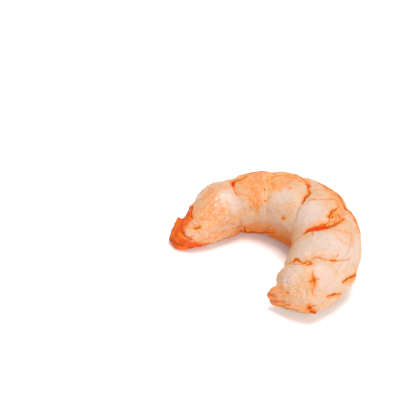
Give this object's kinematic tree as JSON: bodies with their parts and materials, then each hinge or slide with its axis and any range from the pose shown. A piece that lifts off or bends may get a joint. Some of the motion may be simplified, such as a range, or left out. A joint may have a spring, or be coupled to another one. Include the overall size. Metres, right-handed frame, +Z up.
{
  "type": "peeled shrimp",
  "caption": "Curled peeled shrimp tail without shell or tail fan, lying on its side, pale flesh with orange creases.",
  "frame": {"origin": "middle of the bounding box on the plane that the shrimp rests on", "axes": "+Z up, away from the surface it lies on; the torn tail tip points to -X and the cut head end to -Y"},
  "size_m": [0.0452, 0.043, 0.0141],
  "materials": {
    "flesh": "satin"
  },
  "bodies": {
    "root": {"shrimp": "flesh"}
  },
  "joints": []
}
